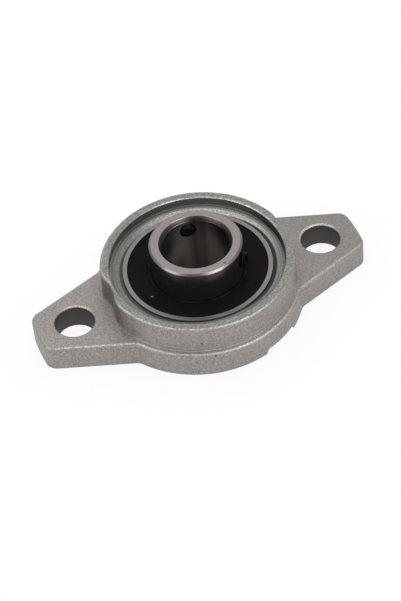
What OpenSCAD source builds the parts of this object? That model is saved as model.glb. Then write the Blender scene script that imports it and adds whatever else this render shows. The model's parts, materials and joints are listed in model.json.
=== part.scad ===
// Two-bolt flange bearing: a rhombic cast housing with a self-aligning ball bearing insert.
// The origin is the centre of the mounting face. X runs along the bolt line, Z along the shaft.

/* [Housing flange] */
// Length over the two flange ends
flange_length = 62.3; // [60:0.1:66]
// Width over the round middle of the flange
flange_width = 37.5; // [36.8:0.1:40]
// Thickness of the flange
flange_thickness = 5; // [4.4:0.1:6]
// Distance between the two bolt holes
bolt_pitch = 48; // [47:0.1:50]
// Diameter of the bolt holes
bolt_hole_d = 7; // [5:0.1:7.6]
// Angle between a straight side and the bolt line
side_angle = 20.25; // [18:0.25:22]
// Distance from the bearing axis to a straight side
side_distance = 14.98; // [14:0.02:16]
// Plan radius of the four flange corners
corner_r = 1.5; // [1:0.1:2.5]
// Plan radius where a straight side runs into the round middle
blend_r = 2; // [1:0.1:3]
// Rounding of the bolt hole edges
hole_edge_r = 0.3; // [0.1:0.05:0.5]

/* [Housing boss] */
// Diameter of the round boss
boss_d = 35.2; // [34.8:0.1:36]
// Height of the boss rim above the mounting face
boss_height = 10.3; // [9.6:0.1:11.5]
// Rounding of the outer rim edge
boss_edge_r = 0.4; // [0.1:0.05:0.6]
// Diameter of the recess in the boss
recess_d = 31.75; // [31:0.05:32.4]
// Chamfer of the inner rim edge
recess_chamfer = 0.15; // [0.05:0.05:0.3]
// Thinnest rim wall beside the relief for a bolt head
relief_wall = 0.5; // [0.4:0.05:1]
// Draft angle of the bolt head relief
relief_draft = 4.3; // [0:0.1:8]
// Chamfer where the relief meets the rim
relief_chamfer = 0.2; // [0.05:0.05:0.3]

/* [Spherical seat] */
// Height of the seat centre above the mounting face
seat_height = 5.1; // [4.8:0.1:5.6]
// Clearance between the seat and the outer ring
seat_clearance = 0.03; // [0.01:0.01:0.08]
// Depth of the seat ledge below the face of the outer ring
ledge_depth = 0.3; // [0.1:0.05:0.6]
// Width of the flat ledge around the seat
ledge_width = 0.6; // [0.3:0.05:0.8]
// Width of the chamfer from the ledge to the recess floor
ledge_chamfer = 0.6; // [0.3:0.05:0.8]
// Chamfer of the opening in the mounting face
back_chamfer = 0.3; // [0.1:0.05:0.6]
// Direction of the slot that the insert is loaded through
slot_angle = -60.9; // [-90:0.1:-50]
// Play of the outer ring in the loading slot
slot_play = 0.4; // [0.2:0.05:0.8]
// Depth of the channel that the slot leaves across the mounting face
channel_depth = 1.1; // [0.5:0.1:1.4]

/* [Bearing rings] */
// Diameter of the shaft bore
bore_d = 12; // [10:0.05:12.6]
// Diameter of the spherical outer ring
sphere_d = 28; // [27.6:0.05:28.6]
// Width of the outer ring
ring_width = 7; // [6.8:0.1:7.6]
// Diameter of the outer ring's inner land
land_d = 23.2; // [22.9:0.05:23.5]
// Diameter of the inner ring
inner_ring_d = 16.8; // [16.6:0.05:17]
// Height of the inner ring's face above the mounting face
inner_ring_top = 14.6; // [13.8:0.1:16]
// Length of the inner ring
inner_ring_length = 14.1; // [13:0.1:14.4]
// Chamfer at the ends of the shaft bore
bore_chamfer = 0.65; // [0.2:0.05:0.9]
// Chamfer at the outer ends of the inner ring
ring_chamfer = 0.35; // [0.1:0.05:0.6]

/* [Balls and cage] */
// Diameter of a ball
ball_d = 4.763; // [4.6:0.001:4.9]
// Radial clearance between a ball and each raceway
race_clearance = 0.02; // [0.01:0.005:0.04]
// Raceway radius as a share of the ball diameter
race_conformity = 0.52; // [0.515:0.005:0.54]
// Clearance between a ball and its cage pocket
pocket_clearance = 0.1; // [0.05:0.01:0.15]
// Thickness of the cage sheet
cage_sheet = 0.4; // [0.3:0.05:0.45]
// Radial width of the cage ribbon
cage_band = 1.9; // [1.6:0.1:2.2]
// Diameter of a cage rivet
rivet_d = 0.8; // [0.6:0.05:0.9]
// Diameter of a cage rivet's head
rivet_head_d = 1.3; // [1.1:0.05:1.5]
// Height of a cage rivet's head
rivet_head_h = 0.3; // [0.2:0.05:0.4]
// Clearance of a rivet in its hole
rivet_clearance = 0.02; // [0.01:0.01:0.05]

/* [Seals] */
// Diameter of the seal's seat in the outer ring
seal_d = 25.52; // [25.2:0.02:25.7]
// Depth of the seal's seat below the face of the outer ring
seal_seat_depth = 1; // [0.8:0.05:1.2]
// Distance of the seal face below the face of the outer ring
seal_recess = 0.1; // [0.05:0.01:0.2]
// Clearance between the cage and the seal
seal_gap = 0.1; // [0.05:0.01:0.15]
// Clearance between the seal lip and the inner ring
lip_gap = 0.08; // [0.05:0.01:0.15]
// Radial length of the lip
lip_length = 0.45; // [0.3:0.05:0.6]
// Step from the seal face down to the lip
lip_step = 0.15; // [0.05:0.01:0.2]
// Thickness of the steel core
core_sheet = 0.2; // [0.15:0.01:0.22]
// Length of the core's bent outer edge
core_edge = 0.55; // [0.4:0.05:0.6]
// Radial thickness of the rubber bead outside the core
bead_width = 0.6; // [0.4:0.05:0.7]
// Fit clearance of the seal pieces
seal_fit = 0.01; // [0.005:0.005:0.02]

/* [Set screws] */
// Thread diameter of a set screw
screw_d = 3; // [2.5:0.1:3.4]
// Length of a set screw
screw_length = 3; // [2.5:0.1:4]
// Distance of the set screws below the inner ring's face
screw_drop = 2.7; // [2.2:0.1:3]
// Direction of the first set screw
screw_angle = 83.5; // [0:0.5:180]
// Angle from the first set screw to the second
screw_spacing = -120; // [-150:1:-60]
// Clearance of a set screw in its hole
screw_clearance = 0.03; // [0.01:0.01:0.06]
// Distance of the screw's point from the shaft bore
screw_rest = 0.1; // [0.02:0.02:0.5]
// Width across the flats of the hex socket
socket_width = 1.5; // [1.2:0.1:1.6]
// Depth of the hex socket
socket_depth = 1.4; // [1:0.1:1.6]
// Chamfer at the ends of a set screw
screw_chamfer = 0.3; // [0.1:0.05:0.4]
// Radius of the cup in the screw's point
cup_r = 0.7; // [0.4:0.05:0.8]
// Depth of the cup in the screw's point
cup_depth = 0.35; // [0.2:0.05:0.5]

/* [Hidden] */
$fn = 96;

// Overlap of a cutter past the face that it opens
cut = 1;
both = [0, 1];

// Flange outline, worked out for the quarter with x and y above zero
end_r = flange_length / 2;
middle_r = flange_width / 2;
side_normal = [sin(side_angle), cos(side_angle)];
side_along = [cos(side_angle), -sin(side_angle)];
function at_side(inset, radius) =
    (side_distance - inset) * side_normal + sqrt(radius ^ 2 - (side_distance - inset) ^ 2) * side_along;
// Rounded corners stand out and blends sink in by a hair, so that their arcs cross the outline
crossing = 0.01;
corner_at = at_side(corner_r - crossing, end_r - corner_r + crossing);
corner_to_end = corner_at / norm(corner_at);
blend_at = at_side(crossing - blend_r, middle_r + blend_r - crossing);
blend_to_middle = -blend_at / norm(blend_at);

// Housing bores
seat_r = sphere_d / 2 + seat_clearance;
ledge_rise = ring_width / 2 - ledge_depth;
ledge_inner_r = sqrt(seat_r ^ 2 - ledge_rise ^ 2);
ledge_outer_r = ledge_inner_r + ledge_width;
recess_floor = seat_height + ring_width / 2;
recess_r = recess_d / 2;
relief_top_r = bolt_pitch / 2 - recess_r - relief_wall;
slot_width = ring_width + slot_play;

// Rings, balls and cage
bore_r = bore_d / 2;
ring_r = inner_ring_d / 2;
ring_bottom = inner_ring_top - inner_ring_length;
half_width = ring_width / 2;
ball_count = 8;
ball_r = ball_d / 2;
ball_step = 360 / ball_count;
pitch_r = (land_d + inner_ring_d) / 4;
race_r = race_conformity * ball_d;
race_offset = race_r - ball_r - race_clearance;
pocket_r = ball_r + pocket_clearance;
crown = pocket_r + cage_sheet;

// Seals, measured outward from the middle plane of the insert
seal_bottom = half_width - seal_seat_depth;
seal_inside = crown + seal_gap;
seal_face = half_width - seal_recess;
core_face = seal_inside + core_sheet;
bead_r = seal_d / 2 - seal_fit;
core_r = bead_r - bead_width;
lip_r = ring_r + lip_gap;
lip_root_r = lip_r + lip_length;
core_inner_r = lip_root_r + lip_length;

// Set screws
screw_r = screw_d / 2;
screw_height = inner_ring_top - screw_drop;

cast_grey = [0.66, 0.66, 0.64];
ring_steel = [0.78, 0.77, 0.76];
ball_steel = [0.86, 0.87, 0.88];
cage_steel = [0.62, 0.63, 0.65];
core_steel = [0.5, 0.51, 0.53];
seal_black = [0.1, 0.1, 0.1];
screw_black = [0.2, 0.2, 0.21];

// Rectangle from the axis out to reach, with its upper outer corner rounded
module rounded_bar(reach, height, edge_r) {
    difference() {
        square([reach, height]);
        translate([reach - edge_r, height - edge_r])
            difference() {
                square(2 * edge_r);
                circle(edge_r);
            }
    }
}

module rounded_disc(radius, height, edge_r) {
    rotate_extrude()
        rounded_bar(radius, height, edge_r);
}

// Four-sided patch that spans two directions from a point, without the circle round that point
module arc_patch(point, radius, reach, from, to) {
    translate(point)
        difference() {
            polygon(reach * [[0, 0], from, from + to, to]);
            circle(radius);
        }
}

// Rhombus with cut ends round a circle, with rounded corners and blends
module flange_outline() {
    difference() {
        intersection() {
            circle(end_r);
            polygon([
                [0, side_distance / cos(side_angle)], [side_distance / sin(side_angle), 0],
                [0, -side_distance / cos(side_angle)], [-side_distance / sin(side_angle), 0]
            ]);
        }
        in_quarters()
            arc_patch(corner_at, corner_r, 2 * corner_r, corner_to_end, side_normal);
    }
    in_quarters()
        arc_patch(blend_at, blend_r, 1.2 * blend_r, blend_to_middle, -side_normal);
    circle(middle_r);
}

module in_quarters() {
    for (flip_x = both, flip_y = both)
        mirror([flip_x, 0])
            mirror([0, flip_y])
                children();
}

// Space for a bolt head and its spanner beside the boss
module relief() {
    edge = boss_height - relief_chamfer;
    base_r = relief_top_r - boss_height * tan(relief_draft);
    edge_r = relief_top_r - relief_chamfer * tan(relief_draft);
    mouth_r = relief_top_r + relief_chamfer;
    top = boss_height + cut;
    translate([bolt_pitch / 2, 0, 0])
        rotate_extrude()
            polygon([[0, 0], [base_r, 0], [edge_r, edge], [mouth_r, boss_height], [mouth_r, top], [0, top]]);
}

module boss() {
    difference() {
        rounded_disc(boss_d / 2, boss_height, boss_edge_r);
        for (flip = both)
            mirror([flip, 0, 0])
                relief();
    }
}

// Cutter for a bolt hole with both edges rounded
module bolt_hole() {
    hole_r = bolt_hole_d / 2;
    mouth_r = hole_r + hole_edge_r;
    translate([bolt_pitch / 2, 0, 0])
        rotate_extrude()
            difference() {
                translate([0, -cut])
                    square([mouth_r, flange_thickness + 2 * cut]);
                translate([hole_r, hole_edge_r])
                    square([2 * hole_edge_r, flange_thickness - 2 * hole_edge_r]);
                for (level = [hole_edge_r, flange_thickness - hole_edge_r])
                    translate([mouth_r, level])
                        circle(hole_edge_r);
            }
}

// Cutter for the stepped recess above the seat
module recess() {
    top = boss_height + cut;
    floor_r = ledge_outer_r + ledge_chamfer;
    mouth_r = recess_r + recess_chamfer;
    rotate_extrude()
        polygon([
            [0, seat_height], [ledge_inner_r, seat_height],
            [ledge_inner_r, seat_height + ledge_rise], [ledge_outer_r, seat_height + ledge_rise],
            [floor_r, recess_floor], [recess_r, recess_floor],
            [recess_r, boss_height - recess_chamfer], [mouth_r, boss_height],
            [mouth_r, top], [0, top]
        ]);
}

// Cutter for the opening below the seat
module back_opening() {
    mouth_r = ledge_outer_r + back_chamfer;
    rotate_extrude()
        polygon([
            [0, -cut], [mouth_r, -cut], [mouth_r, 0], [ledge_outer_r, back_chamfer],
            [ledge_outer_r, seat_height - ledge_rise], [ledge_inner_r, seat_height - ledge_rise],
            [ledge_inner_r, seat_height], [0, seat_height]
        ]);
}

// Cutter that lets the outer ring in edgewise, up to the middle of the seat
module loading_slot() {
    rotate([0, 0, slot_angle])
        translate([0, 0, -cut]) {
            linear_extrude(seat_height + cut)
                intersection() {
                    circle(seat_r + slot_play / 2);
                    square([flange_width, slot_width], center = true);
                }
            linear_extrude(channel_depth + cut)
                square([flange_length, slot_width], center = true);
        }
}

module housing() {
    color(cast_grey)
        difference() {
            union() {
                linear_extrude(flange_thickness)
                    flange_outline();
                boss();
            }
            for (flip = both)
                mirror([flip, 0, 0])
                    bolt_hole();
            recess();
            back_opening();
            translate([0, 0, seat_height])
                sphere(seat_r);
            loading_slot();
        }
}

module outer_ring() {
    color(ring_steel)
        translate([0, 0, seat_height])
            difference() {
                intersection() {
                    sphere(sphere_d / 2);
                    cylinder(h = ring_width, r = sphere_d, center = true);
                }
                rotate_extrude() {
                    translate([0, -ring_width])
                        square([land_d / 2, 2 * ring_width]);
                    translate([pitch_r - race_offset, 0])
                        circle(race_r);
                    for (flip = both)
                        mirror([0, flip])
                            translate([0, seal_bottom])
                                square([seal_d / 2, ring_width]);
                }
            }
}

module inner_ring() {
    color(ring_steel)
        difference() {
            rotate_extrude()
                difference() {
                    polygon([
                        [bore_r + bore_chamfer, ring_bottom], [ring_r - ring_chamfer, ring_bottom],
                        [ring_r, ring_bottom + ring_chamfer], [ring_r, inner_ring_top - ring_chamfer],
                        [ring_r - ring_chamfer, inner_ring_top], [bore_r + bore_chamfer, inner_ring_top],
                        [bore_r, inner_ring_top - bore_chamfer], [bore_r, ring_bottom + bore_chamfer]
                    ]);
                    translate([pitch_r + race_offset, seat_height])
                        circle(race_r);
                }
            for (number = [1, 2])
                at_screw(number, 0)
                    cylinder(h = 2 * ring_r, r = screw_r + screw_clearance);
        }
}

// Moves its children to a set screw's axis, pointing outward from the given radius
module at_screw(number, radius) {
    rotate([0, 0, screw_angle + (number - 1) * screw_spacing])
        translate([radius, 0, screw_height])
            rotate([0, 90, 0])
                children();
}

module set_screw(number) {
    color(screw_black)
        at_screw(number, bore_r + screw_rest)
            difference() {
                rotate_extrude()
                    polygon([
                        [0, cup_depth], [cup_r, 0], [screw_r - screw_chamfer, 0], [screw_r, screw_chamfer],
                        [screw_r, screw_length - screw_chamfer], [screw_r - screw_chamfer, screw_length],
                        [0, screw_length]
                    ]);
                translate([0, 0, screw_length - socket_depth])
                    linear_extrude(socket_depth + cut)
                        circle(d = socket_width / cos(30), $fn = 6);
            }
}

// Moves its children to a place on the ball circle, counted in ball steps
module on_pitch(steps) {
    rotate([0, 0, steps * ball_step])
        translate([pitch_r, 0, 0])
            children();
}

module ball(number) {
    color(ball_steel)
        translate([0, 0, seat_height])
            on_pitch(number - 1)
                sphere(ball_r);
}

// Pressed half of the ribbon cage, with its flat webs on the middle plane
module cage_half() {
    color(cage_steel)
        difference() {
            intersection() {
                union() {
                    cylinder(h = cage_sheet, r = pitch_r + cage_band);
                    for (step = [0 : ball_count - 1])
                        on_pitch(step)
                            sphere(crown);
                }
                rotate_extrude()
                    translate([pitch_r - cage_band / 2, 0])
                        square([cage_band, 2 * crown]);
            }
            for (step = [0 : ball_count - 1]) {
                on_pitch(step)
                    sphere(pocket_r);
                on_pitch(step + 0.5)
                    cylinder(h = 2 * crown, r = rivet_d / 2 + rivet_clearance, center = true);
            }
        }
}

module cage_front() {
    translate([0, 0, seat_height])
        cage_half();
}

module cage_rear() {
    translate([0, 0, seat_height])
        mirror([0, 0, 1])
            cage_half();
}

module cage_rivets() {
    color(cage_steel)
        translate([0, 0, seat_height])
            for (step = [0 : ball_count - 1])
                on_pitch(step + 0.5)
                    rotate_extrude()
                        for (flip = both)
                            mirror([0, flip]) {
                                square([rivet_d / 2, cage_sheet + rivet_head_h / 2]);
                                translate([0, cage_sheet])
                                    rounded_bar(rivet_head_d / 2, rivet_head_h, 0.8 * rivet_head_h);
                            }
}

module seal_rubber() {
    bevel = seal_recess;
    lip_top = seal_face - lip_step;
    color(seal_black)
        rotate_extrude()
            polygon([
                [core_r, seal_bottom], [bead_r, seal_bottom], [bead_r, seal_face - bevel],
                [bead_r - bevel, seal_face], [lip_root_r + lip_step, seal_face], [lip_root_r, lip_top],
                [lip_r, lip_top], [lip_r, seal_inside], [core_inner_r, seal_inside],
                [core_inner_r, core_face], [core_r, core_face]
            ]);
}

module seal_core() {
    outer_r = core_r - seal_fit;
    inner_r = core_inner_r + seal_fit;
    bend_r = outer_r - core_sheet;
    edge = core_face - core_edge;
    color(core_steel)
        rotate_extrude()
            polygon([
                [inner_r, seal_inside], [bend_r, seal_inside], [bend_r, edge],
                [outer_r, edge], [outer_r, core_face], [inner_r, core_face]
            ]);
}

// Places a seal piece at the front of the insert, or mirrored at its rear
module at_seal(rear) {
    translate([0, 0, seat_height])
        mirror([0, 0, rear])
            children();
}

module front_seal_rubber() {
    at_seal(0)
        seal_rubber();
}

module front_seal_core() {
    at_seal(0)
        seal_core();
}

module rear_seal_rubber() {
    at_seal(1)
        seal_rubber();
}

module rear_seal_core() {
    at_seal(1)
        seal_core();
}

housing();
outer_ring();
inner_ring();
for (number = [1 : ball_count])
    ball(number);
cage_front();
cage_rear();
cage_rivets();
front_seal_rubber();
front_seal_core();
rear_seal_rubber();
rear_seal_core();
for (number = [1, 2])
    set_screw(number);
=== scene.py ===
"""Looks of the two-bolt flange bearing, dressed over its solids. Metres, Z along the shaft."""
import json
import math

import bmesh
import bpy
from mathutils import Matrix, Vector


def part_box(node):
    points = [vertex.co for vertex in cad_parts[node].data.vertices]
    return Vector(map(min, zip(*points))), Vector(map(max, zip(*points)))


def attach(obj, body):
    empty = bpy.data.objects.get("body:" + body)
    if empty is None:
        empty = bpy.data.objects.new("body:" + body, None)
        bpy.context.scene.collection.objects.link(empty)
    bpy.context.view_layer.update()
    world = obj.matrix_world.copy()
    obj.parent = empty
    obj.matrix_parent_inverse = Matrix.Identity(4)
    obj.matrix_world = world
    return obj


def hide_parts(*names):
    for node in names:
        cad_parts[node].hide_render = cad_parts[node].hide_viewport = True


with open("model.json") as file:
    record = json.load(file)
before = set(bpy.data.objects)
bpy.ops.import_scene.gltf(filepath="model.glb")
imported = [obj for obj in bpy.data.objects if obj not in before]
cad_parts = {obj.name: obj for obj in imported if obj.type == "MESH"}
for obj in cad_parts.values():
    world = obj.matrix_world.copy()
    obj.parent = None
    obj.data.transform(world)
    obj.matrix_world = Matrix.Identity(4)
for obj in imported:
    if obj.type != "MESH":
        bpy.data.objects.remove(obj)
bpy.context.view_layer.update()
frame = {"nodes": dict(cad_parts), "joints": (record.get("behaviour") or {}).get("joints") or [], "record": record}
record = frame["record"]

# Axes of the joints, and the body and material slot of each node
axes = {joint["child"]: Vector(joint["axis"]) for joint in frame["joints"]}
bodies = {node: body for body, nodes in record["behaviour"]["bodies"].items() for node in nodes}
slots = {part["node"]: part["material_slot"] for part in record["subparts"]}

# A millimetre in metres, and the sizes in millimetres that the mounts and solids give
mm = 0.001
mounts = {mount["name"]: mount for mount in record["mounts"]}
hole_dims = mounts["bolt_holes"]["dims"]
hole_r = hole_dims["hole_r_mm"]
hole_x = hole_dims["spacing_x_mm"] / 2
bore_r = mounts["shaft_bore"]["dims"]["r_mm"]
flange_top = 2 * mounts["bolt_holes"]["pos_m"][2] / mm
rim_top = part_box("housing")[1].z / mm
end_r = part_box("housing")[1].x / mm
insert_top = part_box("outer_ring")[1].z / mm
ring_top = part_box("inner_ring")[1].z / mm
ring_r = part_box("inner_ring")[1].x / mm
seal_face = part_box("front_seal_rubber")[1].z / mm

# Plan of the flange: lengths in millimetres, slope of the straight sides
side_angle = math.radians(20.25)
side_distance = 14.98
middle_r = 18.75
corner_r = 2.2
blend_r = 2
top_round = 0.6
bottom_round = 0.2

# Boss, bolt holes and bolt head reliefs: lengths in millimetres, draft of the reliefs
boss_r = 17.6
rim_round = 0.5
foot_r = 0.15
hole_round = 0.5
relief_r = 7.62
relief_draft = math.radians(4.3)
relief_blend = 5

# Recess and spherical seat: lengths in millimetres, width of the seat's chamfer for its height
recess_r = 15.875
rim_chamfer = 0.15
seat_r = 14.03
seat_height = 5.1
seat_slope = 2
ledge_rise = 3.2
ledge_width = 0.6
back_chamfer = 0.3

# Loading slot and channel at its foot: lengths in millimetres, place round the shaft, slope of the sides
slot_angle = math.radians(-60.9)
slot_width = 7.4
slot_r = 14.23
channel_depth = 1.1
channel_slope = math.radians(76)

# Set screws in millimetres
thread_pitch = 0.5
thread_depth = 0.3
flank_height = thread_pitch * 3 / 8
crest_height = thread_pitch / 8
thread_play = 0.005
socket_width = 1.5
socket_depth = 1.4
point_chamfer = 0.3
cup_r = 0.7
cup_depth = 0.35

# Thread as a mesh: steps of a turn, turns below the foot, turns beyond the length, steps of the blank
thread_steps = 36
thread_start = 1.53
spare_turns = 2
blank_steps = 50

# Other meshes: steps of a full turn and of a small arc, largest angle between smooth faces
turn_steps = 144
arc_steps = 6
sharp_angle = math.radians(32)

# Overlaps of cutters in millimetres, wide and slight
beyond = 1
hair = 0.01

# Distances in metres within which points merge, in a solid and in a finished screw
weld = 1e-7
burr = 1e-6

# Camera: turns, distances and target in metres, lens and sensor in millimetres
view_azimuth = math.radians(-17.765)
view_elevation = math.radians(46.136)
view_roll = math.radians(-5.731)
view_distance = 397.811 * mm
view_target = Vector((-0.1966, -0.2052, -0.2455)) * mm
view_near = 0.01
view_lens = 130.582
view_sensor = 36

# Light tent: level at the floor, level overhead, share of light left in its opening
tent_low = 0.5
tent_high = 0.92
tent_opening = 0.3

# Where the tent fades: sines of the height where it brightens, cosines at the edge of its opening
tent_heights = (0.1, 0.65)
opening_edge = (0.82, 0.95)

# Distance of the soft boxes in metres
lamp_distance = 0.5

# Soft boxes: degrees round the shaft, degrees above the floor, width in metres, brightness as seen
lamps = ((294, 40, 0.26, 4.5), (188, 33, 0.26, 2.55), (75, 68, 0.22, 1.0))

# Floor: width in metres, drop below the part in millimetres, grey
floor_width = 6
floor_drop = 0.02
floor_grey = (0.85, 0.85, 0.85, 1)

# Shadow on the floor: reach in millimetres, depth as the camera sees it and as the metal mirrors it
shadow_reach = 12
shadow_depth = 0.1
mirrored_depth = 0.5

# Sides of the casting in degrees round the shaft: painted shade in the gaps at right and left, painted shade and
# painted highlight on the seat's edge, painted highlight on the back of the rim
right_shade_angle = -15
left_shade_angle = 180
seat_shade_angle = 140
seat_highlight_angle = 60
rim_highlight_angle = 45

# Pits of the casting: degrees round the shaft, then radius, height and size in millimetres
casting_pits = ((250, boss_r, 7, 0.55), (257, middle_r, 4.6, 0.5), (266, middle_r, 2, 0.4))

# Spacing of the casting's pores in millimetres
pore_spacing = 2

# Sides of the rings in degrees round the shaft: painted shade on the front of the outer ring, lit and shaded wall
# of the bore
shaded_front_angle = 250
lit_angle = 118
shade_angle = 150

# Painted reflections along the bore, lighter bands: degrees round the shaft, strength, cosine at the edge
bore_reflection_bands = ((99, 1, 0.88), (38, 0.24, 0.92), (47, 0.4, 0.993))

# Stain of the inner ring: degrees round the shaft, then radius, height and size in millimetres
ring_stain = (291, 7.6, ring_top, 0.5)

# Ends of a speck on the seal: degrees round the shaft, then radius and height in millimetres
speck_ends = ((198.6, 11, seal_face), (200.1, 10.6, seal_face))

# Line of the seal's lip in millimetres, with a painted highlight along it
lip_r = 8.9

# Colours of the blasted skin, with painted shade, painted light and painted highlights
cast_dark = (0.27, 0.25, 0.235, 1)
cast_light = (0.45, 0.419, 0.395, 1)
cloud_dark = (0.29, 0.267, 0.251, 1)
cloud_light = (0.47, 0.435, 0.41, 1)
lit_shelf_colour = (0.6, 0.572, 0.548, 1)
hollow_shade_dark = (0.11, 0.1, 0.093, 1)
far_end_shade_dark = (0.14, 0.136, 0.128, 1)
drilled_shade_dark = (0.05, 0.046, 0.043, 1)
worn_and_highlight_light = (0.8, 0.78, 0.75, 1)
pit_and_crease_shade_dark = (0.05, 0.047, 0.043, 1)

# Colours of the rim and the turned recess, with painted highlights, painted light and painted shade
rim_dark = (0.21, 0.208, 0.194, 1)
rim_light = (0.4, 0.397, 0.37, 1)
turned_dark = (0.165, 0.157, 0.149, 1)
turned_light = (0.275, 0.265, 0.252, 1)
chamfer_dark = (0.25, 0.241, 0.229, 1)
chamfer_light = (0.37, 0.359, 0.342, 1)
chamfer_highlight_light = (0.9, 0.87, 0.83, 1)
seat_shade_dark = (0.12, 0.112, 0.105, 1)
lit_corner_colour = (0.6, 0.58, 0.555, 1)
gap_shade_dark = (0.045, 0.04, 0.036, 1)
wall_shade_dark = (0.085, 0.082, 0.076, 1)
wall_shade_light = (0.13, 0.126, 0.118, 1)
shade_dark = (0.014, 0.013, 0.012, 1)

# Colours of the ground rings, with painted shade and painted reflections
ground_dark = (0.279, 0.256, 0.247, 1)
ground_light = (0.338, 0.311, 0.3, 1)
ground_cloud = (0.287, 0.269, 0.257, 1)
outer_shade_dark = (0.14, 0.13, 0.124, 1)
edge_dark = (0.05, 0.045, 0.042, 1)
reflection_and_shade_dark = (0.13, 0.118, 0.113, 1)
tapped_shade_dark = (0.02, 0.018, 0.017, 1)
stain_dark = (0.05, 0.045, 0.04, 1)
bore_dark_reflection = (0.031, 0.021, 0.02, 1)
bore_light_reflection = (0.135, 0.121, 0.11, 1)
bore_shade = (0.012, 0.009, 0.008, 1)
bore_lit = (0.25, 0.227, 0.21, 1)
mouth_shade_dark = (0.03, 0.023, 0.021, 1)
mouth_shade_light = (0.078, 0.064, 0.06, 1)

# Colours of the rubber with a painted highlight on its lip, black oxide, balls, cage and seal cores
rubber_dark = (0.0034, 0.0031, 0.0033, 1)
rubber_light = (0.0068, 0.0062, 0.0066, 1)
lip_highlight_light = (0.06, 0.056, 0.057, 1)
dust_light = (0.25, 0.24, 0.23, 1)
oxide_dark = (0.008, 0.008, 0.009, 1)
oxide_light = (0.05, 0.048, 0.047, 1)
ball_dark = (0.6, 0.59, 0.585, 1)
ball_light = (0.7, 0.69, 0.685, 1)
cage_dark = (0.42, 0.41, 0.4, 1)
cage_light = (0.56, 0.55, 0.54, 1)
core_dark = (0.2, 0.2, 0.2, 1)
core_light = (0.32, 0.32, 0.315, 1)


def work_on(piece):
    """Leaves one object selected and active."""
    bpy.ops.object.select_all(action="DESELECT")
    piece.select_set(True)
    bpy.context.view_layer.objects.active = piece


def select_edges(piece, wanted):
    """Selects the edges of a mesh in edit mode that a test picks."""
    bpy.ops.mesh.select_mode(type="EDGE")
    bpy.ops.mesh.select_all(action="DESELECT")
    shape = bmesh.from_edit_mesh(piece.data)
    for edge in shape.edges:
        edge.select_set(wanted(edge))
    bmesh.update_edit_mesh(piece.data)


def arc(centre, radius, start, end, steps=arc_steps):
    """Points of an arc in a plane, from one angle to another."""
    angles = [start + (end - start) * step / steps for step in range(steps + 1)]
    return [(centre[0] + radius * math.cos(a), centre[1] + radius * math.sin(a)) for a in angles]


def draw_line(name, points):
    """New mesh of one line through points in millimetres, in edit mode and selected."""
    bpy.ops.object.select_all(action="DESELECT")
    bpy.ops.mesh.primitive_plane_add(size=mm)
    line = bpy.context.object
    line.name = name
    bpy.ops.object.mode_set(mode="EDIT")
    bpy.ops.mesh.select_mode(type="VERT")
    bpy.ops.mesh.merge(type="CENTER")
    bpy.ops.transform.translate(value=Vector(points[0]) * mm)
    for start, end in zip(points, points[1:]):
        step = (Vector(end) - Vector(start)) * mm
        bpy.ops.mesh.extrude_region_move(TRANSFORM_OT_translate={"value": step})
    bpy.ops.mesh.select_all(action="SELECT")
    return line


def close_up():
    """Turns all faces of the solid in edit mode outwards and leaves that mode."""
    bpy.ops.mesh.select_all(action="SELECT")
    bpy.ops.mesh.normals_make_consistent(inside=False)
    bpy.ops.object.mode_set(mode="OBJECT")


def turned(name, profile, steps=turn_steps):
    """Solid turned round Z from a line of radii and heights that starts and ends on the axis."""
    solid = draw_line(name, [(radius, 0, height) for radius, height in profile])
    bpy.ops.mesh.spin(steps=steps, angle=2 * math.pi, center=(0, 0, 0), axis=(0, 0, 1))
    bpy.ops.mesh.select_all(action="SELECT")
    bpy.ops.mesh.remove_doubles(threshold=weld)
    close_up()
    return solid


def combine(piece, other, operation):
    """Joins, cuts or trims a piece with another, which is used up."""
    work_on(piece)
    boolean = piece.modifiers.new("combine", "BOOLEAN")
    boolean.operation = operation
    boolean.object = other
    bpy.ops.object.modifier_apply(modifier="combine")
    bpy.data.objects.remove(other)


def smooth(piece):
    """Makes round faces smooth and keeps flat faces flat."""
    work_on(piece)
    bpy.ops.object.shade_smooth_by_angle(angle=sharp_angle)
    piece.modifiers.new("flat faces", "WEIGHTED_NORMAL").keep_sharp = True
    bpy.ops.object.modifier_apply(modifier="flat faces")


def stand_in(piece, node, material):
    """Gives a piece its finish and shows it in place of a solid."""
    piece.data.materials.clear()
    piece.data.materials.append(material)
    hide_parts(node)
    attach(piece, bodies[node])


def all_round(quarter):
    """Closed outline from its first quarter, which starts on X and ends on Y."""
    half = quarter + [(-x, y) for x, y in reversed(quarter[:-1])]
    return half + [(x, -y) for x, y in reversed(half[1:-1])]


def side_point(inset, radius):
    """Point at a distance from the axis and at an inset from the straight side, in the first quarter."""
    away = side_distance - inset
    along = math.sqrt(radius ** 2 - away ** 2)
    return (
        away * math.sin(side_angle) + along * math.cos(side_angle),
        away * math.cos(side_angle) - along * math.sin(side_angle),
    )


def flange_outline():
    """Rhombus with round ends, corners and middle, once round."""
    square_to_side = math.pi / 2 - side_angle
    corner = side_point(corner_r, end_r - corner_r)
    corner_angle = math.atan2(corner[1], corner[0])
    blend = side_point(-blend_r, middle_r + blend_r)
    blend_angle = math.atan2(blend[1], blend[0])
    quarter = (
        arc((0, 0), end_r, 0, corner_angle)[:-1]
        + arc(corner, corner_r, corner_angle, square_to_side, 2 * arc_steps)
        + arc(blend, blend_r, square_to_side - math.pi, blend_angle - math.pi)
        + arc((0, 0), middle_r, blend_angle, math.pi / 2, 2 * arc_steps)[1:]
    )
    return all_round(quarter)


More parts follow.
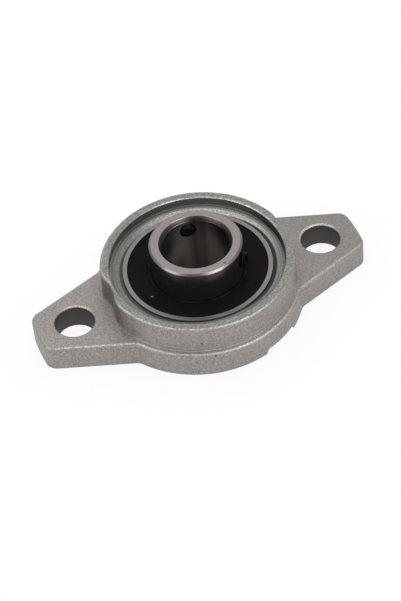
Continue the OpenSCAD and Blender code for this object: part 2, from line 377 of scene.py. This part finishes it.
def flange_plate():
    """Flange plate with its upper edge rounded as cast and its lower edge broken."""
    plate = draw_line("housing_casting", [(x, y, 0) for x, y in flange_outline()])
    bpy.ops.mesh.edge_face_add()
    bpy.ops.mesh.extrude_region_move(TRANSFORM_OT_translate={"value": (0, 0, flange_top * mm)})
    for height, width in ((flange_top, top_round), (0, bottom_round)):
        level = height * mm
        select_edges(plate, lambda edge: all(abs(vert.co.z - level) < weld for vert in edge.verts))
        bpy.ops.mesh.bevel(offset=width * mm, segments=arc_steps, profile=0.5, clamp_overlap=False)
    close_up()
    return plate


def boss_outline(grow, height):
    """Outline of the boss, hollowed at both sides for the bolt heads and grown outwards, at a height."""
    hollow_r = relief_r - (rim_top - height) * math.tan(relief_draft)
    inner, outer = boss_r - relief_blend, hollow_r + relief_blend
    blend_x = (inner ** 2 - outer ** 2 + hole_x ** 2) / (2 * hole_x)
    blend_y = math.sqrt(inner ** 2 - blend_x ** 2)
    round_boss = math.atan2(blend_y, blend_x)
    round_hole = math.atan2(blend_y, blend_x - hole_x)
    blend = (blend_x, blend_y)
    quarter = (
        arc((hole_x, 0), hollow_r - grow, math.pi, round_hole)[:-1]
        + arc(blend, relief_blend + grow, round_hole - math.pi, round_boss, 2 * arc_steps)[:-1]
        + arc((0, 0), boss_r + grow, round_boss, math.pi / 2, 4 * arc_steps)
    )
    return [(x, y, height) for x, y in all_round(quarter)]


def boss():
    """Boss that flares into the flange, lofted through its outlines from the foot to the rounded rim."""
    foot = arc((foot_r, flange_top - hair + foot_r), foot_r, -math.pi / 2, -math.pi)
    rim = arc((-rim_round, rim_top - rim_round), rim_round, 0, math.pi / 2)
    section = [(foot_r, flange_top - beyond), *foot, *rim]
    outlines = [boss_outline(grow, height) for grow, height in section]
    solid = draw_line("boss", outlines[0])
    bpy.ops.mesh.edge_face_add()
    for below, above in zip(outlines, outlines[1:]):
        bpy.ops.mesh.extrude_region_move()
        shape = bmesh.from_edit_mesh(solid.data)
        for vert in [vert for vert in shape.verts if vert.select]:
            gaps = [(vert.co - Vector(point) * mm).length_squared for point in below]
            vert.co = Vector(above[gaps.index(min(gaps))]) * mm
        bmesh.update_edit_mesh(solid.data)
    close_up()
    return solid


def bolt_hole(side):
    """Cutter for a bolt hole with both edges rounded."""
    mouth = hole_r + hole_round
    cutter = turned("bolt_hole", [
        (0, -beyond), (mouth, -beyond),
        *arc((mouth, hole_round), hole_round, -math.pi / 2, -math.pi),
        *arc((mouth, flange_top - hole_round), hole_round, math.pi, math.pi / 2),
        (mouth, flange_top + beyond), (0, flange_top + beyond),
    ])
    cutter.data.transform(Matrix.Translation((side * hole_x * mm, 0, 0)))
    return cutter


def seat_cutter():
    """Cutter for the recess, the spherical seat and the opening behind it."""
    tilt = math.asin(ledge_rise / seat_r)
    ledge_r = seat_r * math.cos(tilt)
    outer_r = ledge_r + ledge_width
    back_r = outer_r + back_chamfer
    rim_r = recess_r + rim_chamfer
    floor = insert_top
    chamfer_r = outer_r + seat_slope * (floor - seat_height - ledge_rise)
    return turned("seat_cutter", [
        (0, -beyond), (back_r, -beyond), (back_r, 0), (outer_r, back_chamfer),
        (outer_r, seat_height - ledge_rise),
        *arc((0, seat_height), seat_r, -tilt, tilt, 2 * arc_steps),
        (outer_r, seat_height + ledge_rise), (chamfer_r, floor), (recess_r, floor),
        (recess_r, rim_top - rim_chamfer), (rim_r, rim_top),
        (rim_r, rim_top + beyond), (0, rim_top + beyond),
    ])


def slot_bar(name, half):
    """Bar across the mounting face along the loading slot, from the half of its section at one side."""
    section = half + [(-across, height) for across, height in reversed(half)]
    bar = draw_line(name, [(-end_r, across, height) for across, height in section])
    bpy.ops.mesh.edge_face_add()
    bpy.ops.mesh.extrude_region_move(TRANSFORM_OT_translate={"value": (2 * end_r * mm, 0, 0)})
    close_up()
    bar.data.transform(Matrix.Rotation(slot_angle, 4, "Z"))
    return bar


def loading_slot():
    """Cutter that lets the insert in edgewise, as deep as the middle of the seat."""
    slot = turned("slot", [(0, -beyond), (slot_r, -beyond), (slot_r, seat_height), (0, seat_height)])
    half = [(slot_width / 2, -2 * beyond), (slot_width / 2, seat_height + beyond)]
    combine(slot, slot_bar("bar", half), "INTERSECT")
    return slot


def channel():
    """Cutter for the channel across the mounting face, with its cast edges rounded."""
    round_r = channel_depth / 2 / (1 - math.cos(channel_slope))
    reach = round_r * math.sin(channel_slope)
    mouth, inner = slot_width / 2 + reach, slot_width / 2 - reach
    lip = arc((mouth, round_r), round_r, -math.pi / 2, -math.pi / 2 - channel_slope)
    corner = arc((inner, channel_depth - round_r), round_r, math.pi / 2 - channel_slope, math.pi / 2)
    return slot_bar("channel", [(mouth, -beyond), *lip, *corner[1:]])


def cast_housing(material):
    """Casting: flange and boss with rounded edges, less the bolt holes, seat, slot and channel."""
    piece = flange_plate()
    combine(piece, boss(), "UNION")
    for side in (-1, 1):
        combine(piece, bolt_hole(side), "DIFFERENCE")
    combine(piece, seat_cutter(), "DIFFERENCE")
    combine(piece, loading_slot(), "DIFFERENCE")
    combine(piece, channel(), "DIFFERENCE")
    smooth(piece)
    stand_in(piece, "housing", material)


def threaded_rod(name, radius, length):
    """Rod along Z with a helical thread, cut square at both ends."""
    root = radius - thread_depth
    crest_end = flank_height + crest_height
    rod = draw_line(name, [
        (root, 0, 0), (radius, 0, flank_height), (radius, 0, crest_end),
        (root, 0, crest_end + flank_height), (root, 0, thread_pitch),
    ])
    bpy.ops.object.mode_set(mode="OBJECT")
    helix = rod.modifiers.new("helix", "SCREW")
    helix.axis = "Z"
    helix.screw_offset = thread_pitch * mm
    helix.iterations = math.ceil(length / thread_pitch) + spare_turns
    helix.steps = helix.render_steps = thread_steps
    work_on(rod)
    bpy.ops.object.modifier_apply(modifier="helix")
    bpy.ops.object.mode_set(mode="EDIT")
    bpy.ops.mesh.select_mode(type="VERT")
    bpy.ops.mesh.select_all(action="SELECT")
    bpy.ops.mesh.remove_doubles(threshold=weld)
    bpy.ops.transform.translate(value=(0, 0, -thread_start * thread_pitch * mm))
    for end, side in ((0, -1), (length, 1)):
        plane = {"plane_co": (0, 0, end * mm), "plane_no": (0, 0, side)}
        bpy.ops.mesh.select_all(action="SELECT")
        bpy.ops.mesh.bisect(use_fill=True, clear_outer=True, threshold=weld, **plane)
    close_up()
    return rod


def screw_model(radius, length):
    """Set screw along Z with a thread, a cup point at its foot and a hex socket at its head."""
    screw = threaded_rod("set_screw", radius, length)
    waist = radius - point_chamfer
    blank = turned("blank", [
        (0, cup_depth), (cup_r, 0), (waist, 0), (radius + hair, point_chamfer + hair),
        (radius + hair, length - point_chamfer - hair), (waist, length), (0, length),
    ], blank_steps)
    combine(screw, blank, "INTERSECT")
    socket_r = socket_width / 2 / math.cos(math.pi / 6)
    bpy.ops.object.select_all(action="DESELECT")
    bpy.ops.mesh.primitive_cylinder_add(
        vertices=6, radius=socket_r * mm, depth=2 * socket_depth * mm, location=(0, 0, length * mm),
    )
    combine(screw, bpy.context.object, "DIFFERENCE")
    work_on(screw)
    bpy.ops.object.mode_set(mode="EDIT")
    bpy.ops.mesh.select_all(action="SELECT")
    bpy.ops.mesh.remove_doubles(threshold=burr)
    bpy.ops.mesh.dissolve_degenerate(threshold=burr)
    bpy.ops.object.mode_set(mode="OBJECT")
    bpy.ops.object.shade_smooth_by_angle(angle=sharp_angle)
    return screw


def set_screws(material):
    """Set screws, modelled once and copied to their places in the inner ring."""
    model = None
    for node in [name for name, slot in slots.items() if slot == "screw_steel"]:
        axis = axes[bodies[node]]
        along = [vert.co.dot(axis) / mm for vert in frame["nodes"][node].data.vertices]
        lowest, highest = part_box(node)
        if not model:
            model = screw_model((highest.z - lowest.z) / 2 / mm - thread_play, max(along) - min(along))
        work_on(model)
        bpy.ops.object.duplicate()
        piece = bpy.context.object
        piece.name = node + "_threaded"
        foot = axis * min(along) * mm
        foot.z = (lowest.z + highest.z) / 2
        turn = axis.to_track_quat("Z", "Y").to_matrix().to_4x4()
        piece.data.transform(Matrix.Translation(foot) @ turn)
        stand_in(piece, node, material)
    bpy.data.objects.remove(model)


class Field:
    """A value over a surface: an output of a material's nodes. Arithmetic on it adds Math nodes."""

    def __init__(self, tree, socket=None):
        self.tree = tree
        self.socket = socket

    def node(self, kind, settings=None, inputs=None, output=0):
        """Adds a node, sets it up, feeds its sockets and returns one of its outputs."""
        made = self.tree.nodes.new("ShaderNode" + kind)
        for name, setting in (settings or {}).items():
            setattr(made, name, setting)
        for name, value in (inputs or {}).items():
            if isinstance(value, Field):
                self.tree.links.new(made.inputs[name], value.socket)
            else:
                made.inputs[name].default_value = value
        return Field(self.tree, made.outputs[output]) if made.outputs else None

    def math(self, operation, first, second=0.0):
        return self.node("Math", {"operation": operation}, {0: first, 1: second})

    def __add__(self, other):
        return self.math("ADD", self, other)

    def __radd__(self, other):
        return self.math("ADD", other, self)

    def __sub__(self, other):
        return self.math("SUBTRACT", self, other)

    def __rsub__(self, other):
        return self.math("SUBTRACT", other, self)

    def __mul__(self, other):
        return self.math("MULTIPLY", self, other)

    def __rmul__(self, other):
        return self.math("MULTIPLY", other, self)

    def __truediv__(self, other):
        return self.math("DIVIDE", self, other)

    def __abs__(self):
        return self.math("ABSOLUTE", self)

    def sqrt(self):
        return self.math("SQRT", self)

    def larger(self, other):
        return self.math("MAXIMUM", self, other)

    def rise(self, low, high):
        """0 below low, 1 above high, smooth between them."""
        settings = {"interpolation_type": "SMOOTHSTEP"}
        return self.node("MapRange", settings, {"Value": self, "From Min": low, "From Max": high})

    def fall(self, low, high):
        """1 below low, 0 above high, smooth between them."""
        return 1 - self.rise(low, high)

    def between(self, start, full, last, end):
        """0 up to start, 1 from full to last, 0 again from end, smooth between them."""
        return self.rise(start, full) * self.fall(last, end)

    def blend(self, first, second):
        """Colour from first, where this field is 0, to second, where it is 1."""
        return self.node("Mix", {"data_type": "RGBA"}, {0: self, 6: first, 7: second}, 2)


class Surface:
    """Nodes of a new material, with a place on the piece in millimetres."""

    def __init__(self, name):
        self.material = bpy.data.materials.new(name)
        self.material.use_nodes = True
        tree = self.material.node_tree
        tree.nodes.clear()
        self.root = Field(tree)
        place = self.root.node("TexCoord", output="Object")
        self.place = place.node("VectorMath", {"operation": "SCALE"}, {0: place, "Scale": 1 / mm})
        self.x, self.y, self.z = (
            place.node("SeparateXYZ", inputs={0: self.place}, output=axis) for axis in "XYZ"
        )
        self.radius = self.distance(self.x, self.y)
        normal = self.root.node("TexCoord", output="Normal")
        self.up = self.root.node("SeparateXYZ", inputs={0: normal}, output="Z")

    def distance(self, first, second):
        return (first * first + second * second).sqrt()

    def point(self, x, y, z):
        return self.root.node("CombineXYZ", inputs={"X": x, "Y": y, "Z": z})

    def towards(self, angle):
        """1 on the side of the shaft at an angle in degrees, 0 square to it, -1 on the far side."""
        turn = math.radians(angle)
        return (math.cos(turn) * self.x + math.sin(turn) * self.y) / self.radius

    def noise(self, place, size, detail=2.0):
        """Soft random field with spots about as large as size, in millimetres."""
        inputs = {"Vector": place, "Scale": 1 / size, "Detail": detail}
        return self.root.node("TexNoise", inputs=inputs, output="Fac")

    def rings(self, size, wander=0.0):
        """Soft random rings round the shaft, about as wide as size, in millimetres."""
        return self.noise(self.point(self.radius + wander, self.z, 0.0), size)

    def gap(self, angle, radius, height):
        """Distance in millimetres from a point at an angle in degrees round the shaft."""
        turn = math.radians(angle)
        ends = {0: self.place, 1: Vector((math.cos(turn) * radius, math.sin(turn) * radius, height))}
        return self.root.node("VectorMath", {"operation": "DISTANCE"}, ends, "Value")

    def spot(self, angle, radius, height, size):
        """1 inside a small round spot at a point round the shaft, 0 outside it."""
        return self.gap(angle, radius, height).fall(size / 4, size / 2)

    def finish(self, height, constants=None, **inputs):
        """Ends the material in one shader, with a relief given in millimetres."""
        normal = self.root.node("Bump", inputs={"Height": height, "Distance": mm}, output="Normal")
        sockets = {name.replace("_", " "): value for name, value in inputs.items()}
        sockets.update(constants or {}, Normal=normal)
        shader = self.root.node("BsdfPrincipled", inputs=sockets)
        self.root.node("OutputMaterial", inputs={"Surface": shader})
        return self.material


def painted(skin, *layers):
    """Lays colours over a skin one after the other, each as strongly as its field says."""
    for field, colour in layers:
        skin = field.blend(skin, colour)
    return skin


class CastSurface(Surface):
    """Surface of the casting, with a field for each zone of its skin."""

    def __init__(self, name):
        super().__init__(name)
        self.flat = self.up.rise(0.8, 0.95)
        self.above_flange = self.z - flange_top
        self.above_rim = self.z - rim_top
        self.past_recess = self.radius - recess_r
        from_hole = self.distance(abs(self.x) - hole_x, self.y)
        self.past_hole = from_hole - hole_r
        self.past_relief = from_hole - relief_r
        self.make_grain()
        self.find_boss()
        self.find_recess()
        self.find_wear_and_highlights()

    def make_grain(self):
        """Blasted grain, its lighter patches, and pits."""
        self.grain = self.noise(self.place, size=0.26, detail=3)
        self.fine = self.noise(self.place, size=0.12)
        self.patch = self.noise(self.place, size=0.7)
        self.cloud = self.noise(self.place, size=5, detail=3).rise(0.35, 0.65)
        self.sparkle = self.noise(self.place, size=0.2, detail=3).rise(0.5, 0.6)
        self.speckle = (0.6 * self.grain + 0.25 * self.fine + 0.15 * self.patch).rise(0.41, 0.59)
        self.mottle = (0.35 * self.patch + 0.65 * self.grain).rise(0.42, 0.58)
        self.beads = (0.6 * self.grain + 0.4 * self.fine).rise(0.38, 0.54)
        cells = {"Vector": self.place, "Scale": 1 / pore_spacing}
        pores = self.root.node("TexVoronoi", inputs=cells, output="Distance")
        self.pits = 0.35 * pores.fall(0.02, 0.06)
        for pit in casting_pits:
            self.pits = self.pits.larger(self.spot(*pit))

    def find_boss(self):
        """Foot of the boss with painted shade in its crease and painted light in front of it, painted shade in the
        hollows for the bolt heads, darker skin and painted shade in the bolt holes, and painted shade on the far
        end of the flange.
        """
        beside_bolts = self.past_relief.fall(3, 6)
        self.foot = self.above_flange.between(-0.005, 0.005, foot_r, 2 * foot_r)
        # painted shade in the crease at the foot of the boss, away from the bolts
        self.crease_shade = self.up.between(0.2, 0.5, 0.75, 0.95) * self.foot * beside_bolts
        steep = self.up.fall(0.15, 0.6)
        # painted shade on the steep walls of the hollows for the bolt heads
        self.hollow_shade = self.past_relief.fall(0, 3) * self.above_flange.rise(0, 1) * steep
        # painted light on the narrow flat between the foot of the boss and the flange's edge, away from the bolts
        close_by = (self.radius - boss_r).fall(0.6, 0.8) * self.above_flange.between(-0.1, 0, 0.4, 1.4)
        self.lit_shelf = (1 - beside_bolts) * close_by
        # darker skin and painted shade on the walls of the bolt holes
        self.drilled_and_shaded = self.past_hole.fall(0.04, 0.2)
        # painted shade: flat faces darker towards the far end of the flange
        self.far_end_shade = self.flat * self.x.rise(8, 26)

    def find_recess(self):
        """Rim and turned recess: wall with painted shade, floor with a painted light line at its corner, chamfer
        of the seat with a painted highlight on one side and painted shade on the other, painted shade in the gap
        round the insert and along the right of the recess.
        """
        past_seat = self.radius - seat_r
        self.rim = self.above_rim.rise(-0.06, -0.03)
        self.turned = self.past_recess.fall(0.02, 0.06) * self.z.rise(0.1, 0.3)
        self.tool_marks = self.rings(size=0.14, wander=0.25 * self.patch)
        # painted shade: the recess wall darker than the floor
        self.wall = self.turned * self.up.fall(0.1, 0.3) * (self.z - insert_top).rise(0.02, 0.08)
        # painted shade in the gap round the insert, wider on the right and on the left
        right_shade_width = 0.5 * self.towards(right_shade_angle).rise(0.4, 0.9)
        left_shade_width = 0.4 * self.towards(left_shade_angle).rise(0.4, 0.9)
        in_gap_shade = (past_seat - right_shade_width.larger(left_shade_width)).fall(-0.36, -0.14)
        self.gap_shade = self.turned * in_gap_shade
        self.chamfer = self.turned * past_seat.fall(0.6, 1) * (1 - in_gap_shade)
        self.floor = self.turned * self.flat * (1 - self.chamfer)
        # painted light: a lighter line on the floor along the foot of the recess wall
        self.corner = self.floor * self.past_recess.rise(-0.2, -0.1)
        # painted highlight on the back right of the seat's chamfer
        self.bright = self.towards(seat_highlight_angle).rise(0.3, 0.8)
        # painted shade on the back left of the seat's chamfer and floor
        self.seat_shade = self.towards(seat_shade_angle).rise(0.5, 0.9)
        shaded = self.towards(right_shade_angle).rise(0.6, 0.95)
        self.shade_line = self.gap_shade.larger(self.turned * self.past_recess.rise(-0.25, -0.12)) * shaded

    def find_wear_and_highlights(self):
        """Lighter worn edges with painted highlights on the flange and boss, and painted highlights on the back of
        the rim and on the mouth of the left bolt hole.
        """
        high = self.above_flange.rise(1, 2)
        lit_lip = self.x.fall(-5, 0) * self.y.rise(0, 3)
        # worn edges with painted highlights on the upper part of the roundings, fewer on the right of the flange
        # and none on the shaded right of the boss
        edges = self.up.between(0.72, 0.88, 0.97, 0.998) * (1 - self.foot) * (1 - self.turned)
        edges = edges * (1 - high * self.past_relief.fall(0.5, 1.5) * (1 - lit_lip))
        edges = edges * (1 - high * self.towards(right_shade_angle).rise(0.5, 0.85))
        edges = edges * (1 - self.past_hole.fall(0.6, 1))
        edges = edges * self.x.fall(5, 17).larger(0.35) * self.x.rise(-30, -28.5).larger(0.25)
        edges = edges * (1 - 0.25 * high)
        # painted highlight along the back of the rim's inner edge
        rim_highlight = self.above_rim.rise(-0.16, -0.1) * self.past_recess.fall(0.2, 0.32)
        rim_highlight = self.towards(rim_highlight_angle).rise(0.5, 0.85) * rim_highlight
        # painted highlight on the back of the left bolt hole's mouth
        mouth = self.past_hole.between(0.1, 0.2, 0.4, 0.6)
        mouth = mouth * self.above_flange.between(-hole_round, -hole_round / 2, 0, 0.1)
        mouth = mouth * self.y.rise(0.5, 2.5) * (self.x + hole_x).rise(-1.5, 1)
        wear_and_highlight = edges.larger(rim_highlight) * (0.3 + 0.7 * self.beads) * (0.5 + 0.5 * self.mottle)
        self.wear_and_highlight = wear_and_highlight.larger(0.75 * mouth * self.beads)


def blasted_casting():
    """Blasted die-cast metal: grain, pits, lighter worn edges with painted highlights, a turned recess, darker
    skin in the bolt holes, painted shade in hollows, holes and the recess, and painted light at the boss's foot
    and the recess floor's corner.
    """
    s = CastSurface("blasted casting")
    skin = painted(
        s.speckle.blend(cast_dark, cast_light),
        (s.cloud, s.speckle.blend(cloud_dark, cloud_light)),
        # painted light at the foot of the boss
        (0.3 * s.lit_shelf, lit_shelf_colour),
        # painted shade in the hollows for the bolt heads
        (0.62 * s.hollow_shade, hollow_shade_dark),
        # painted shade on the far end of the flange
        (0.25 * s.far_end_shade, far_end_shade_dark),
        (s.rim, s.speckle.blend(rim_dark, rim_light)),
        (s.turned, s.tool_marks.rise(0.35, 0.65).blend(turned_dark, turned_light)),
        (s.chamfer, s.speckle.blend(chamfer_dark, chamfer_light)),
        # painted highlight in sparkles on the back right of the seat's chamfer
        (0.82 * s.chamfer * s.bright * (0.2 + 0.8 * s.sparkle), chamfer_highlight_light),
        # painted shade on the back left of the chamfer and floor
        ((0.42 * s.chamfer * (1 - 0.6 * s.mottle) + 0.35 * s.floor) * s.seat_shade, seat_shade_dark),
        # painted light along the outer corner of the recess floor
        (0.5 * s.corner, lit_corner_colour),
        # painted shade in the gap round the insert
        (0.85 * s.gap_shade, gap_shade_dark),
        # painted shade on the recess wall
        (s.wall, s.speckle.blend(wall_shade_dark, wall_shade_light)),
        (0.8 * s.shade_line, shade_dark),
        # darker skin and painted shade in the bolt holes
        (0.76 * s.drilled_and_shaded, drilled_shade_dark),
        # lighter worn edges with painted highlights
        (0.72 * s.wear_and_highlight, worn_and_highlight_light),
        # real pits, and painted shade in the crease at the foot of the boss
        ((0.22 * s.crease_shade).larger(0.7 * s.pits), pit_and_crease_shade_dark),
    )
    rough = 0.5 + 0.14 * s.speckle - 0.12 * (s.turned - s.chamfer) - 0.22 * s.wear_and_highlight
    metal = 1 - 0.7 * s.wall - 0.4 * s.floor
    relief = 0.03 * s.grain + 0.016 * s.fine - 0.06 * s.pits + 0.006 * s.turned * s.tool_marks
    return s.finish(relief, Base_Color=skin, Roughness=rough, Metallic=metal)


def bore_wall(s):
    """Colour of the bore: painted reflections as streaks and lighter bands along it, painted shade with depth and
    on one side, painted light high on the lit side.
    """
    around = s.root.node("VectorMath", {"operation": "NORMALIZE"}, {0: s.point(s.x, s.y, 0.0)})
    reflection_streak = s.noise(around, size=0.4).rise(0.25, 0.75)
    # painted reflections: lighter bands along the bore at given angles
    bands = sum(strength * s.towards(angle).rise(edge, 1) for angle, strength, edge in bore_reflection_bands)
    lit = s.towards(lit_angle).rise(0.75, 0.97)
    shade = 0.6 * s.towards(shade_angle).rise(0.6, 0.95) * s.z.fall(11, 13)
    shade = (0.6 * s.z.fall(3, 12)).larger(shade)
    return painted(
        # painted reflections: streaks and lighter bands along the bore
        (0.4 * reflection_streak + 0.6 * bands).blend(bore_dark_reflection, bore_light_reflection),
        (shade.larger(0.82 * lit * s.z.fall(4, 9)), bore_shade),
        (0.6 * lit * s.z.rise(9.5, 13), bore_lit),
    )


def ground_steel():
    """Ground bearing steel: fine rings on the faces, a dark bore with painted reflections and painted shade,
    painted shade on its mouth, on the outer ring and in the tapped holes, a painted dark reflection on the inner
    ring's outer wall, and a stain.
    """
    s = Surface("ground steel")
    rings = s.rings(size=0.04)
    lines = rings.rise(0.3, 0.7)
    cloud = s.noise(s.place, size=2.5, detail=3)
    past_bore = s.radius - bore_r
    past_ring = s.radius - ring_r
    bore = past_bore.fall(0.54, 0.66)
    mouth = bore * past_bore.rise(0.02, 0.08)
    # painted dark reflection of the black seal on the inner ring's outer wall
    side = past_ring.between(-0.12, -0.05, 0.05, 0.2)
    edge = past_ring.between(-0.45, -0.35, -0.12, -0.05)
    # painted shade inside the tapped holes
    tapped = past_bore.rise(0.02, 0.06) * past_ring.fall(-0.06, -0.02)
    tapped = tapped * (s.z - ring_top).fall(-0.8, -0.7) * (s.z - insert_top).rise(0, 0.1)
    outer = past_ring.rise(2, 3)
    # front of the outer ring, where shade is painted
    front = s.towards(shaded_front_angle).rise(0.3, 0.9)
    steel = painted(
        lines.blend(ground_dark, ground_light),
        (0.5 * cloud.rise(0.4, 0.7), ground_cloud),
        # painted shade on the outer ring, deeper at its front
        ((0.3 + 0.25 * front) * outer, outer_shade_dark),
        (0.35 * edge, edge_dark),
        (bore, bore_wall(s)),
        # painted shade on the mouth of the bore, darkest next to the bore
        (mouth, past_bore.rise(0, 0.6).blend(mouth_shade_dark, mouth_shade_light)),
        # painted dark reflection on the ring's outer wall and painted shade in the tapped holes
        (side.larger(tapped), reflection_and_shade_dark),
        # deeper painted shade in the tapped holes
        (0.8 * tapped, tapped_shade_dark),
        (s.spot(*ring_stain), stain_dark),
    )
    rough = 0.2 + 0.08 * lines + 0.06 * cloud - 0.08 * side + 0.1 * bore + 0.05 * edge
    return s.finish(0.0025 * rings, Base_Color=steel, Roughness=rough, Metallic=1 - 0.09 * side)


def seal_rubber():
    """Black moulded rubber with a faint mould grain, rubbed rings, a painted highlight along the lip and a speck
    of dust.
    """
    s = Surface("seal rubber")
    grain = s.noise(s.place, size=0.15, detail=3)
    cloud = s.noise(s.place, size=3, detail=3)
    rings = s.rings(size=0.25)
    dust = s.noise(s.place, size=0.22).rise(0.74, 0.8)
    speck = sum(s.gap(*end) for end in speck_ends).fall(0.51, 0.61)
    lip = abs(s.radius - lip_r).fall(0.04, 0.14)
    black = painted(
        cloud.blend(rubber_dark, rubber_light),
        # painted highlight along the seal's lip
        (0.6 * lip * cloud.rise(0.35, 0.6), lip_highlight_light),
        ((0.25 * dust).larger(0.8 * speck), dust_light),
    )
    relief = 0.006 * grain + 0.01 * rings + 0.03 * lip
    rough = 0.42 + 0.12 * grain + 0.1 * rings
    return s.finish(relief, {"Specular IOR Level": 0.06}, Base_Color=black, Roughness=rough)


def blackened_steel():
    """Black oxide on the set screws, rubbed brighter in patches."""
    s = Surface("blackened steel")
    grain = s.noise(s.place, size=0.12, detail=3)
    cloud = s.noise(s.place, size=0.7)
    rubbed = (0.5 * grain + 0.5 * cloud).rise(0.5, 0.62)
    black = (0.6 * rubbed).blend(oxide_dark, oxide_light)
    rough = 0.34 + 0.15 * grain
    return s.finish(0.004 * grain, {"Metallic": 0.9}, Base_Color=black, Roughness=rough)


def polished_steel():
    """Polished balls with faint lapping marks."""
    stretch = 6
    s = Surface("polished steel")
    cloud = s.noise(s.place, size=1.2, detail=3)
    marks = s.noise(s.point(s.x, s.y * stretch, s.z * stretch), size=0.4)
    steel = cloud.blend(ball_dark, ball_light)
    rough = 0.16 + 0.1 * marks
    return s.finish(0.0006 * marks, {"Metallic": 1.0}, Base_Color=steel, Roughness=rough)


def pressed_sheet(name, dark, light):
    """Pressed sheet steel with rolling lines and a light oil haze."""
    stretch = 5
    s = Surface(name)
    haze = s.noise(s.place, size=1.5, detail=3)
    lines = s.noise(s.point(s.x * stretch, s.y, s.z * stretch), size=0.4)
    steel = (0.6 * haze + 0.4 * lines).rise(0.35, 0.65).blend(dark, light)
    rough = 0.28 + 0.2 * haze
    return s.finish(0.003 * lines, {"Metallic": 1.0}, Base_Color=steel, Roughness=rough)


def make_camera():
    """Camera that looks at the part from the front and above."""
    turn = (
        Matrix.Rotation(view_azimuth, 4, "Z")
        @ Matrix.Rotation(math.pi / 2 - view_elevation, 4, "X")
        @ Matrix.Rotation(view_roll, 4, "Z")
    )
    place = view_target + turn.to_3x3() @ Vector((0, 0, view_distance))
    bpy.ops.object.camera_add()
    camera = bpy.context.object
    camera.matrix_world = Matrix.Translation(place) @ turn
    camera.data.lens = view_lens
    camera.data.sensor_width = view_sensor
    camera.data.clip_start = view_near
    bpy.context.scene.camera = camera


def soft_box(direction, elevation, size, brightness):
    """Square lamp that faces the part from a direction round the shaft, with its brightness as seen."""
    round_shaft = Matrix.Rotation(math.radians(direction), 4, "Z")
    bpy.ops.object.light_add(type="AREA")
    lamp = bpy.context.object
    away = round_shaft @ Matrix.Rotation(math.radians(-elevation), 4, "Y") @ Vector((1, 0, 0))
    turn = away.to_track_quat("Z", "Y").to_matrix().to_4x4()
    lamp.matrix_world = Matrix.Translation(away * lamp_distance) @ turn
    lamp.data.size = size
    lamp.data.energy = brightness * math.pi * size ** 2


def light_room():
    """Pale tent, brighter overhead, with a dim opening in its front."""
    world = bpy.data.worlds.new("tent")
    world.use_nodes = True
    world.node_tree.nodes.clear()
    root = Field(world.node_tree)
    direction = root.node("TexCoord", output="Generated")
    height = root.node("SeparateXYZ", inputs={0: direction}, output="Z")
    raised = Vector((0, -math.cos(view_elevation), math.sin(view_elevation)))
    front = Matrix.Rotation(view_azimuth, 3, "Z") @ raised
    towards = root.node("VectorMath", {"operation": "DOT_PRODUCT"}, {0: direction, 1: front}, "Value")
    level = tent_low + (tent_high - tent_low) * height.rise(*tent_heights)
    level = level * (1 - (1 - tent_opening) * towards.rise(*opening_edge))
    tent = root.node("Background", inputs={"Color": (1, 1, 1, 1), "Strength": level})
    root.node("OutputWorld", inputs={"Surface": tent})
    bpy.context.scene.world = world


def make_floor():
    """White floor. It looks white from the camera and in the metal, darker only close to the part."""
    bpy.ops.object.select_all(action="DESELECT")
    bpy.ops.mesh.primitive_plane_add(size=floor_width, location=(0, 0, -floor_drop * mm))
    floor = bpy.context.object
    floor.name = "floor"
    paper = bpy.data.materials.new("white paper")
    paper.use_nodes = True
    paper.node_tree.nodes.clear()
    root = Field(paper.node_tree)
    rays = ("Is Camera Ray", "Is Glossy Ray", "Is Transmission Ray")
    seen, glossy, passed = (root.node("LightPath", output=ray) for ray in rays)
    mirrored = glossy + passed
    shade = 1 - root.node("AmbientOcclusion", inputs={"Distance": shadow_reach * mm}, output="AO")
    white = seen * (1 - shadow_depth * shade) + mirrored * (1 - mirrored_depth * shade)
    glow = root.node("Emission", inputs={"Strength": white})
    plain = root.node("BsdfDiffuse", inputs={"Color": floor_grey})
    shown = root.node("MixShader", inputs={0: seen + mirrored, 1: plain, 2: glow})
    root.node("OutputMaterial", inputs={"Surface": shown})
    floor.data.materials.append(paper)


make_camera()
cast_housing(blasted_casting())
set_screws(blackened_steel())

finishes = {
    "ring_steel": ground_steel(),
    "seal_rubber": seal_rubber(),
    "ball_steel": polished_steel(),
    "cage_steel": pressed_sheet("cage sheet", cage_dark, cage_light),
    "core_steel": pressed_sheet("seal core sheet", core_dark, core_light),
}
for name, solid in frame["nodes"].items():
    if slots[name] in finishes:
        solid.material_slots[0].material = finishes[slots[name]]

make_floor()
light_room()
for lamp in lamps:
    soft_box(*lamp)
bpy.context.scene.view_settings.view_transform = "Standard"
